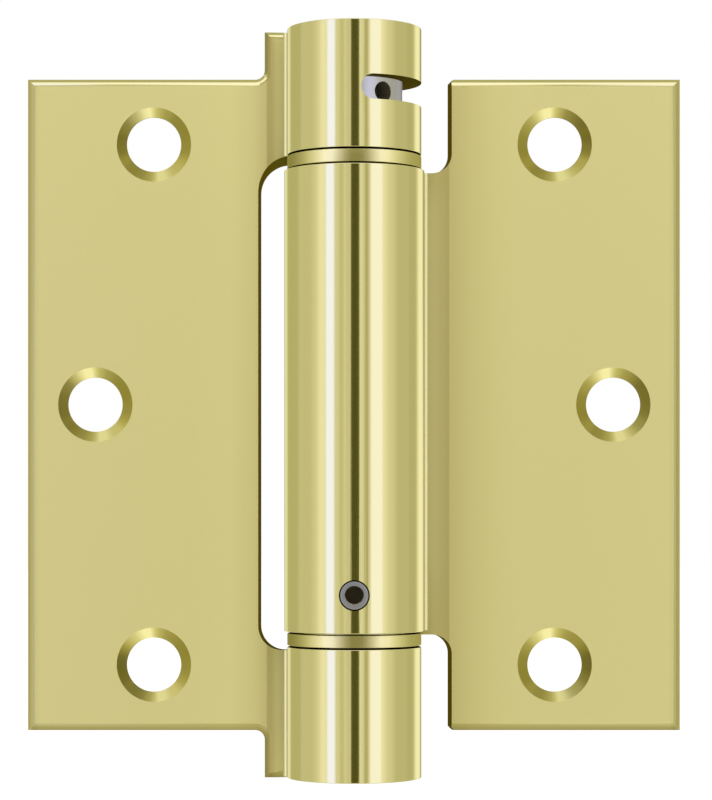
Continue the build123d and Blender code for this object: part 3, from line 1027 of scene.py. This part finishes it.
@dataclass
class JambLeaf(LeafStock):
    """The leaf on the jamb: its plate, its two tabs and the two short knuckles."""

    side: int = -1
    knuckle_radius: float = 9.1
    strip_width: float = 2.86
    satin: GradedFinish = SATIN_JAMB
    bead: GradedFinish = BEAD_JAMB
    barrel_height: float = 101.6
    reach: float = 44.67
    tab_end: float = 51.0
    bottom_trim: float = 0.14
    knuckle_starts: tuple[float, float] = (-32.93, 33.795)
    tab_edge: float = 12.27
    tab_root: float = 1.3
    tab_root_steps: int = 10
    slot_front: tuple[float, float, float, float] = (13.12, -33.52, 34.38, 5.4)
    slot_back: tuple[float, float, float, float] = (12.78, -33.52, 32.93, 4.0)
    slot_low_corner: float = 3.3
    slot_steps: int = 14
    room_gap: float = 0.1
    room_end_gap: float = 0.005
    bead_overlap: float = 0.4
    window_low: float = 40.18
    window_height: float = 3.35
    window_from: float = -84.1
    window_to: float = 70.0
    window_root: float = 4.0

    def plate(self) -> Thing:
        """Builds the plate with its tabs, its rounded rim, its slot and its holes.

        Returns:
            The plate.
        """
        half, tab, edge, y = self.height / 2, self.tab_end, self.tab_edge, self.face_y
        root, steps = self.tab_root, self.tab_root_steps
        shape = Outline((self.inner, y, tab)).line((edge, y, tab), (edge, y, half + root))
        shape.arc((edge + root, y, half + root), (0, -1, 0), QUARTER_TURN, steps)
        shape.line((self.reach, y, half), (self.reach, y, -half), (edge + root, y, -half))
        shape.arc((edge + root, y, -half - root), (0, -1, 0), QUARTER_TURN, steps)
        shape.line((edge, y, -tab), (self.inner, y, -tab))
        plate = self.placed(self.blank(shape), "brass_jamb_leaf")
        combine(plate, self.tapered(self.slot_outline), Join.CUT)
        self.drill(plate)
        return plate

    def slot_outline(self, y: float, at_back: bool) -> Outline:
        """Draws the slot that the middle knuckle turns in: its edge, ends and upper corner.

        Args:
            y: the depth that it is drawn at.
            at_back: whether it is the outline at the sheet's back.

        Returns:
            The outline.
        """
        edge, low, high, corner = self.slot_back if at_back else self.slot_front
        start, low_corner = self.inner - OVERSHOOT, self.slot_low_corner
        shape = Outline((start, y, low)).line((edge - low_corner, y, low))
        shape.arc((edge - low_corner, y, low + low_corner), (0, -1, 0), QUARTER_TURN, self.slot_steps)
        shape.line((edge, y, high - corner))
        shape.arc((edge - corner, y, high - corner), (0, -1, 0), QUARTER_TURN, self.slot_steps)
        return shape.line((start, y, high))

    def clear_middle(self, plate: Thing) -> None:
        """Clears the plate round the middle knuckle and the bearing rings.

        Args:
            plate: the leaf's plate.
        """
        low, high = (start + way * self.room_end_gap for start, way in zip(self.knuckle_starts, (1, -1)))
        radius = self.knuckle_radius + self.room_gap
        room = turned([(0, low), (radius, low), (radius, high), (0, high)])
        cut(plate, room, Skin.SHEARED.value)

    def cut_window(self, knuckle: Thing) -> None:
        """Cuts the adjusting window round the right of the top knuckle.

        Args:
            knuckle: the top knuckle.
        """
        half, low, far = self.window_height / 2, self.window_low, self.knuckle_radius + OVERSHOOT
        end_turn = half / self.knuckle_radius
        first = math.radians(self.window_from) + end_turn
        last = math.radians(self.window_to) - end_turn
        shape = Outline((0, 0, low)).line((far * math.cos(first), far * math.sin(first), low))
        shape.arc((0, 0, low), (0, 0, 1), last - first, HOLE_STEPS)
        cutters = [thicken(shape.face(), (0, 0, self.window_height))]
        for angle in (first, last):
            cutters.append(drill_bit(half, self.window_root, far, angle, low + half, CUTTER_STEPS))
        for cutter in cutters:
            cut(knuckle, cutter, Skin.SHEARED.value)

    def build(self) -> Thing:
        """Builds the whole leaf.

        Returns:
            The finished leaf.
        """
        leaf = self.plate()
        top, bottom = self.barrel_height / 2, self.bottom_trim - self.barrel_height / 2
        bottom_start, top_start = self.knuckle_starts
        slot_low, slot_high = self.slot_front[1:3]
        combine(leaf, self.back_blend(top_start, top), Join.ADD)
        combine(leaf, self.back_blend(-top, slot_low), Join.ADD)
        self.clear_middle(leaf)
        upper = self.knuckle(top_start, top, [top])
        self.cut_window(upper)
        combine(leaf, upper, Join.ADD)
        combine(leaf, self.knuckle(bottom, bottom_start, [bottom]), Join.ADD)
        combine(leaf, self.front_bead(slot_high - self.bead_overlap, top), Join.ADD)
        combine(leaf, self.front_bead(-top, slot_low), Join.ADD)
        leaf.visible_glossy = False
        return finished(leaf, "jamb_leaf", "brass_finish", "jamb_leaf")


@dataclass
class DoorLeaf(LeafStock):
    """The leaf on the door: its plate, its two notches and the long middle knuckle."""

    side: int = 1
    knuckle_radius: float = 9.52
    strip_width: float = 3.45
    satin: GradedFinish = SATIN_DOOR
    bead: GradedFinish = BEAD_DOOR
    knuckle_ends: tuple[float, float] = (-30.80, 31.59)
    notch_floors: tuple[float, float] = (-31.4, 31.63)
    notch_edge: float = 13.3
    notch_corner: float = 2.6
    notch_tip: float = 0.5
    notch_taper: float = 0.48
    notch_steps: int = 12
    pin_height: float = -25.7
    pin_hole_radius: float = 2.05
    pin_hole_reach: float = 3.0

    def plate(self) -> Thing:
        """Builds the plate with its rounded rim, its notches and its holes.

        Returns:
            The plate.
        """
        half, y = self.height / 2, self.face_y
        shape = Outline((self.inner, y, half))
        shape.line((self.reach, y, half), (self.reach, y, -half), (self.inner, y, -half))
        plate = self.placed(self.blank(shape), "brass_door_leaf")
        for floor in self.notch_floors:
            combine(plate, self.tapered(lambda y, at_back: self.notch_outline(y, at_back, floor)), Join.CUT)
        self.drill(plate)
        return plate

    def notch_outline(self, y: float, at_back: bool, floor: float) -> Outline:
        """Draws the notch that a short knuckle turns in.

        Args:
            y: the depth that it is drawn at.
            at_back: whether it is the outline at the sheet's back.
            floor: the height of the notch's floor.

        Returns:
            The outline.
        """
        end = 1 if floor > 0 else -1
        edge, corner, tip = self.notch_edge - self.notch_taper * at_back, self.notch_corner, self.notch_tip
        half, start = self.height / 2, self.inner - OVERSHOOT
        shape = Outline((start, y, floor)).line((edge - corner, y, floor))
        shape.arc((edge - corner, y, floor + end * corner), (0, -end, 0), QUARTER_TURN, self.notch_steps)
        shape.line((edge, y, end * (half - tip)), (edge + tip, y, end * half))
        return shape.line((edge + tip, y, end * (half + OVERSHOOT)), (start, y, end * (half + OVERSHOOT)))

    def build(self) -> Thing:
        """Builds the whole leaf.

        Returns:
            The finished leaf.
        """
        leaf = self.plate()
        low, high = self.knuckle_ends
        knuckle = self.knuckle(low, high, [])
        near, far = (self.knuckle_radius + way * self.pin_hole_reach for way in (-1, 1))
        hole = drill_bit(self.pin_hole_radius, near, far, -QUARTER_TURN, self.pin_height, HOLE_STEPS)
        # The pin hole's wall gets the painted gap shade, so that the gap round the pin shows dark.
        cut(knuckle, hole, Skin.RUNNING.value)
        combine(leaf, self.back_blend(*self.notch_floors), Join.ADD)
        combine(leaf, knuckle, Join.ADD)
        combine(leaf, self.front_bead(low, high), Join.ADD)
        leaf.visible_glossy = False
        return finished(leaf, "door_leaf", "brass_finish", "door_leaf")


@dataclass
class BearingBushes:
    """The two brass bushes whose flanges show as rings between the knuckles."""

    bore: float = 6.57
    sleeve_radius: float = 7.0
    sleeve_end: float = 28.2
    flange_radius: float = 9.1
    upper_flange: tuple[float, float] = (31.86, 33.545)
    lower_flange: tuple[float, float] = (-31.07, -32.68)
    rim: float = 0.1
    end_shade_slot: int = 1

    def build(self) -> list[Thing]:
        """Builds both bushes.

        Returns:
            The finished bushes.
        """
        finishes = slots(TURNED_BRASS, GAP_SHADE_FINISH)
        made = []
        for place, (near, far) in (("upper", self.upper_flange), ("lower", self.lower_flange)):
            end, rim = math.copysign(self.sleeve_end, near), self.flange_radius
            sleeve = [(self.sleeve_radius, near), (self.sleeve_radius, end)]
            mesh = turned([(self.bore, end), (self.bore, far), (rim, far), (rim, near), *sleeve])
            soften(mesh, outer_rings(mesh, rim - TOUCH), self.rim, RIM_STRIPS)
            # Painted shade: the flange and sleeve ends, seen only through the thin gaps, get the nearly black
            # gap finish.
            paint(mesh, self.end_shade_slot, lambda c, n: abs(n.z) > SQUARE_ON)
            bush = as_object(mesh, f"{place}_brass_bearing", finishes)
            made.append(finished(bush, "door_leaf", "bearing_brass", f"{place}_bearing_bush"))
        return made


@dataclass
class Spindles:
    """The adjusting spindle in the top knuckle and the anchor spindle in the bottom one."""

    radius: float = 6.52
    seated_radius: float = 7.0
    bore: float = 2.08
    end: float = 46.5
    # Below this height the spindle's outside gets the painted gap shade.
    gap_shade_below: float = 36.0
    edge_break: float = 0.4
    arbour_radius: float = 4.15
    arbour_length: float = 6.0
    arbour_slot: float = 2.8
    sleeve_end: float = 28.2
    collar_low: float = -28.1
    collar_high: float = -22.5
    hole_radius: float = 1.36
    hole_depth: float = 3.2
    hole_angle: float = -53.3
    hole_count: int = 6
    hole_height: float = 41.66
    tang_turn: float = 24.9
    pin_height: float = -25.7
    pin_seat_radius: float = 1.9
    pin_inner_end: float = 3.23
    steel_slot: int = 0
    hole_slot: int = 1
    gap_shade_slot: int = 2

    def build(self) -> list[Thing]:
        """Builds both spindles.

        Returns:
            The finished spindles.
        """
        return [self.adjusting(), self.anchor()]

    def shade_gap_faces(self, mesh: Mesh, name: str) -> Thing:
        """Paints shade on the running surfaces, dark as the thin gaps of the barrel show them.

        Args:
            mesh: the turned spindle, which is used up.
            name: the object's name.

        Returns:
            The spindle as an object.
        """
        outside = self.radius - TOUCH
        paint(mesh, self.gap_shade_slot, lambda c, n: c.z < self.gap_shade_below and math.hypot(c.x, c.y) > outside)
        return as_object(mesh, name, slots(ZINC_STEEL, HOLE_DARK, GAP_SHADE_FINISH))

    def drill(self, spindle: Thing, radius: float, near: float, angle: float, height: float) -> None:
        """Drills a hole straight into the spindle.

        Args:
            spindle: the spindle.
            radius: the hole's radius.
            near: how far from the axis its floor is.
            angle: its direction round the axis, in radians.
            height: its height.
        """
        hole = drill_bit(radius, near, self.seated_radius + OVERSHOOT, angle, height, CUTTER_STEPS)
        cut(spindle, hole, self.hole_slot)

    def cut_slot(self, spindle: Thing, low: float, angle: float) -> None:
        """Cuts the slot that holds the spring's tang.

        Args:
            spindle: the spindle.
            low: the height of the slot's lower end.
            angle: the slot's direction, in degrees.
        """
        turn = Matrix.Rotation(math.radians(angle), 4, "Z")
        place = Matrix.Translation((0, 0, low + self.arbour_length / 2)) @ turn
        slot = block((2 * self.arbour_radius + OVERSHOOT, self.arbour_slot, self.arbour_length), place)
        cut(spindle, slot, self.steel_slot)

    def adjusting(self) -> Thing:
        """Builds the spindle with the holes that the tension bar enters.

        Returns:
            The finished spindle.
        """
        low, radius, arbour = self.sleeve_end - self.arbour_length, self.radius, self.arbour_radius
        mesh = turned([
            (self.bore, low), (self.bore, self.end), (radius - self.edge_break, self.end),
            (radius, self.end - self.edge_break), (radius, self.gap_shade_below), (radius, self.sleeve_end),
            (arbour, self.sleeve_end), (arbour, low),
        ])
        spindle = self.shade_gap_faces(mesh, "steel_adjusting_spindle")
        for index in range(self.hole_count):
            angle = math.radians(self.hole_angle) + index * FULL_TURN / self.hole_count
            self.drill(spindle, self.hole_radius, radius - self.hole_depth, angle, self.hole_height)
        self.cut_slot(spindle, low, -self.tang_turn)
        return finished(spindle, "adjusting_spindle", "spindle_steel", "adjusting_spindle")

    def anchor(self) -> Thing:
        """Builds the spindle that is pinned in the middle knuckle.

        Returns:
            The finished spindle.
        """
        low, high = self.collar_low, self.collar_high
        top, radius, arbour = high + self.arbour_length, self.radius, self.arbour_radius
        mesh = turned([
            (self.bore, -self.end), (radius - self.edge_break, -self.end), (radius, self.edge_break - self.end),
            (radius, low), (self.seated_radius, low), (self.seated_radius, high), (arbour, high),
            (arbour, top), (self.bore, top),
        ])
        spindle = self.shade_gap_faces(mesh, "steel_anchor_spindle")
        self.drill(spindle, self.pin_seat_radius, self.pin_inner_end, -QUARTER_TURN, self.pin_height)
        self.cut_slot(spindle, high, self.tang_turn)
        return finished(spindle, "door_leaf", "spindle_steel", "anchor_spindle")


@dataclass
class AnchorPin:
    """The hollow pin, flush with the front of the barrel."""

    radius: float = 1.88
    bore: float = 1.27
    outer_end: float = 9.27
    length: float = 6.0
    bright_radius: float = 1.86
    edge_break: float = 0.06
    edge_strips: int = 2
    height: float = -25.7
    bore_slot: int = 1
    rim_shade_slot: int = 2

    def build(self) -> Thing:
        """Builds the pin, with its axis along Y.

        Returns:
            The finished pin.
        """
        long, bright = self.length, self.bright_radius
        face = [(self.bore, 0), (self.bore, long), (bright, long), (self.radius, long)]
        mesh = turned([*face, (self.radius, 0), (bright, 0)], HOLE_STEPS)
        soften(mesh, outer_rings(mesh, self.radius - TOUCH), self.edge_break, self.edge_strips)
        paint(mesh, self.bore_slot, lambda c, n: math.hypot(c.x, c.y) < self.bore + TOUCH)
        # Painted shade: the side and the outer ring of the pin's face are painted dark, as the gap round the
        # pin.
        paint(mesh, self.rim_shade_slot, lambda c, n: math.hypot(c.x, c.y) > bright)
        place = Matrix.Translation((0, long - self.outer_end, self.height))
        turn = Matrix.Rotation(QUARTER_TURN, 4, "X")
        bmesh.ops.transform(mesh, matrix=place @ turn, verts=mesh.verts[:])
        pin = as_object(mesh, "steel_anchor_pin", slots(PIN_STEEL, PIN_BORE, GAP_SHADE_FINISH))
        return finished(pin, "door_leaf", "pin_steel", "anchor_pin")


@dataclass
class RodAndPlugs:
    """The centre rod, and the end plugs that its riveted ends hold."""

    rod_radius: float = 2.0
    head_radius: float = 3.1
    head_sink: float = 0.1
    plug_radius: float = 6.58
    plug_depth: float = 4.2
    plug_edge: float = 0.5
    plug_steps: int = 128
    seat: float = 0.02
    barrel_half: float = 50.8

    def build(self) -> list[Thing]:
        """Builds the rod and both plugs.

        Returns:
            The finished plugs and rod.
        """
        top, flare = self.barrel_half, self.head_radius - self.rod_radius
        floor, hole, plug = top - self.plug_depth, self.rod_radius + self.seat, self.plug_radius
        profile = [
            (hole, floor), (plug, floor), (plug, top - self.plug_edge), (plug - self.plug_edge, top),
            (self.head_radius + self.seat, top), (hole, top - flare),
        ]
        made = []
        for end, place in ((1, "top"), (-1, "bottom")):
            mesh = turned([(radius, end * height) for radius, height in profile], self.plug_steps)
            disc = as_object(mesh, f"{place}_brass_plug", slots(POLISHED_BRASS))
            made.append(finished(disc, "jamb_leaf", "brass_finish", f"{place}_end_plug"))
        face, head = top - self.head_sink, self.head_radius - self.head_sink
        mesh = turned([
            (0, -face), (head, -face), (self.rod_radius, flare - top), (self.rod_radius, top - flare),
            (head, face), (0, face),
        ], HOLE_STEPS)
        rod = as_object(mesh, "steel_centre_rod", slots(ZINC_STEEL))
        made.append(finished(rod, "jamb_leaf", "spindle_steel", "centre_rod"))
        return made


@dataclass(frozen=True)
class Card:
    """A studio card that only reflections see: a lit strip, or a grey or black flag.

    An upright card stands round the pin axis, and its angle is counted from the
    camera's side, positive to the right. An arched one lies across the room, and
    its angle is counted up from the camera's side. Its glow fades out towards both
    edges, and its level is its brightness, where one is the white of the room. Warmth
    makes dim cards yellower than bright ones, and cool makes a card bluer still.
    """

    name: str
    angle: float
    half_width: float
    soft: float
    level: float
    arched: bool = False
    distance: float = 1.0
    reach: tuple[float, float] = (-0.9, 0.55)
    cool: float = 1.0
    warmth: float = 0.55
    green_share: float = 0.13
    steps: int = 24

    def material(self) -> Material:
        """Builds the card's glow, which fades out towards both edges.

        Returns:
            The material.
        """
        made = bpy.data.materials.new(self.name)
        made.use_nodes = True
        tree = made.node_tree
        tree.nodes.clear()
        place = add_node(tree, "TexCoord")
        parts = add_node(tree, "SeparateXYZ", links={"Vector": place.outputs["Object"]})
        away = calculate(tree, "MULTIPLY", parts.outputs["Y"], -1.0)
        angle = calculate(tree, "ARCTAN2", parts.outputs["Z" if self.arched else "X"], away)
        turn = calculate(tree, "ABSOLUTE", calculate(tree, "SUBTRACT", angle, math.radians(self.angle)))
        edge, full = math.radians(self.half_width), math.radians(self.half_width - self.soft)
        share = add_node(
            tree, "MapRange", {"interpolation_type": "SMOOTHSTEP"}, {"From Min": edge, "From Max": full},
            {"Value": turn},
        )
        green, blue = self.cool**self.green_share, self.cool * self.level**self.warmth
        peak = max(green, blue)
        light = {"Color": (1 / peak, green / peak, blue / peak, 1.0), "Strength": self.level * peak}
        clear = add_node(tree, "BsdfTransparent").outputs["BSDF"]
        glow = add_node(tree, "Emission", values=light).outputs["Emission"]
        both = add_node(tree, "MixShader", links={0: share.outputs["Result"], 1: clear, 2: glow})
        add_node(tree, "OutputMaterial", links={"Surface": both.outputs["Shader"]})
        return made

    def build(self) -> None:
        """Stands the card in the room."""
        mesh = bmesh.new()
        low, high = ((x, -self.distance, 0) if self.arched else (0, -self.distance, x) for x in self.reach)
        foot = mesh.verts.new(low)
        bmesh.ops.extrude_vert_indiv(mesh, verts=[foot])["verts"][0].co = high
        width, centre = math.radians(self.half_width), math.radians(self.angle)
        axis = (-1, 0, 0) if self.arched else (0, 0, 1)
        first = Matrix.Rotation(centre - width, 3, Vector(axis))
        bmesh.ops.rotate(mesh, verts=mesh.verts[:], cent=(0, 0, 0), matrix=first)
        bmesh.ops.spin(
            mesh, geom=mesh.verts[:] + mesh.edges[:], cent=(0, 0, 0), axis=axis, dvec=(0, 0, 0),
            angle=2 * width, steps=self.steps,
        )
        made = as_object(mesh, self.name, [self.material()])
        made.visible_camera = made.visible_diffuse = made.visible_shadow = made.visible_transmission = False


@dataclass
class Studio:
    """A white room with a pale floor, tall cards round the camera and a softbox overhead."""

    cards: tuple[Card, ...] = (
        Card("camera_flag", 1.2, 7.7, 1.7, 0.115, distance=1.5, reach=(-0.5, 0.45)),
        Card("left_inner_flag", -10.5, 4.0, 3.0, 0.88, distance=1.4, reach=(-0.5, 0.45)),
        Card("left_near_flag", -21.0, 5.5, 4.0, 0.82),
        Card("left_strip", -40.0, 9.7, 5.0, 1.42, cool=1.9),
        Card("left_glow", -54.0, 13.0, 12.0, 1.28, distance=1.1),
        Card("left_side_flag", -90.0, 27.0, 16.0, 0.84),
        Card("left_rear_flag", -123.0, 23.0, 8.0, 0.71, distance=0.95),
        Card("right_inner_strip", 11.0, 2.5, 1.5, 1.15, distance=1.4, reach=(-0.7, 0.8)),
        Card("right_near_flag", 20.0, 4.5, 3.0, 0.64),
        Card("right_strip", 36.5, 12.0, 4.0, 1.47, cool=1.3),
        Card("right_glow", 44.0, 17.5, 14.0, 1.25, distance=1.1),
        Card("right_side_flag", 99.0, 38.0, 18.0, 0.77),
        Card("right_rear_flag", 110.0, 13.0, 9.0, 0.71, distance=0.95),
        Card("left_rear_strip", -158.0, 20.0, 9.0, 1.12, distance=0.9),
        Card("left_limb_flag", -174.0, 11.0, 4.0, 0.42, distance=0.85),
        Card("right_rear_strip", 139.5, 20.0, 16.0, 1.42, distance=0.9),
        Card("right_limb_flag", 170.0, 14.0, 6.0, 0.42, distance=0.85),
        Card("overhead_softbox", 58.5, 24.5, 6.0, 1.55, True, 1.3, (-1.2, 1.2), cool=1.1),
        Card("overhead_rear_flag", 131.0, 49.0, 8.0, 0.66, True, 1.3, (-1.2, 1.2)),
    )
    floor_height: float = -0.16
    floor_size: float = 6.0
    floor_lift: float = 0.12
    lens: float = 122.95
    camera_distance: float = 0.371
    camera_height: float = -0.014
    shift_x: float = 0.0021
    shift_y: float = 0.134

    def place_floor(self) -> None:
        """Lays a plain pale floor well below the hinge."""
        mesh = bmesh.new()
        bmesh.ops.create_grid(mesh, x_segments=1, y_segments=1, size=self.floor_size)
        bmesh.ops.translate(mesh, verts=mesh.verts[:], vec=(0, 0, self.floor_height))
        made = bpy.data.materials.new("white_floor")
        made.use_nodes = True
        tree = made.node_tree
        tree.nodes.clear()
        ray = add_node(tree, "LightPath")
        seen = calculate(tree, "MAXIMUM", ray.outputs["Is Camera Ray"], ray.outputs["Is Glossy Ray"])
        lift = calculate(tree, "MULTIPLY", seen, self.floor_lift)
        paper = add_node(tree, "BsdfDiffuse", values={"Color": linear("#fafafa")}).outputs["BSDF"]
        glow = add_node(tree, "Emission", links={"Strength": lift}).outputs["Emission"]
        both = add_node(tree, "AddShader", links={0: paper, 1: glow})
        add_node(tree, "OutputMaterial", links={"Surface": both.outputs["Shader"]})
        floor = as_object(mesh, "floor", [made])
        floor.visible_glossy = False

    def light_room(self) -> None:
        """Makes the room an even white."""
        world = bpy.data.worlds.new("white_room")
        world.use_nodes = True
        background = world.node_tree.nodes["Background"]
        background.inputs["Color"].default_value = (1, 1, 1, 1)
        background.inputs["Strength"].default_value = 1.0
        bpy.context.scene.world = world

    def place_camera(self) -> None:
        """Sets the camera square-on, below the hinge's middle, with the lens shifted up to frame it."""
        data = bpy.data.cameras.new("camera")
        data.lens = self.lens
        data.sensor_width = 36.0
        data.shift_x, data.shift_y = self.shift_x, self.shift_y
        data.clip_start, data.clip_end = 0.01, 50.0
        made = bpy.data.objects.new("camera", data)
        made.location = (0, -self.camera_distance, self.camera_height)
        made.rotation_euler = (QUARTER_TURN, 0, 0)
        bpy.context.scene.collection.objects.link(made)
        bpy.context.scene.camera = made

    def build(self) -> None:
        """Sets up the whole studio."""
        bpy.context.scene.view_settings.view_transform = "Standard"
        self.light_room()
        self.place_floor()
        for card in self.cards:
            card.build()
        self.place_camera()
        log.info("studio: %d cards", len(self.cards))


def dress_spring() -> None:
    """Gives the CAD spring its wire finish."""
    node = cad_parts["torsion_spring"]
    node.data.materials.clear()
    node.data.materials.append(*slots(SPRING_WIRE))


def main() -> None:
    """Builds the studio and every piece in order."""
    logging.basicConfig(level=logging.INFO, format="%(name)s: %(message)s")
    for part in (Studio, JambLeaf, DoorLeaf, BearingBushes, Spindles, AnchorPin, RodAndPlugs):
        part().build()
    dress_spring()


if __name__ == "__main__":
    main()
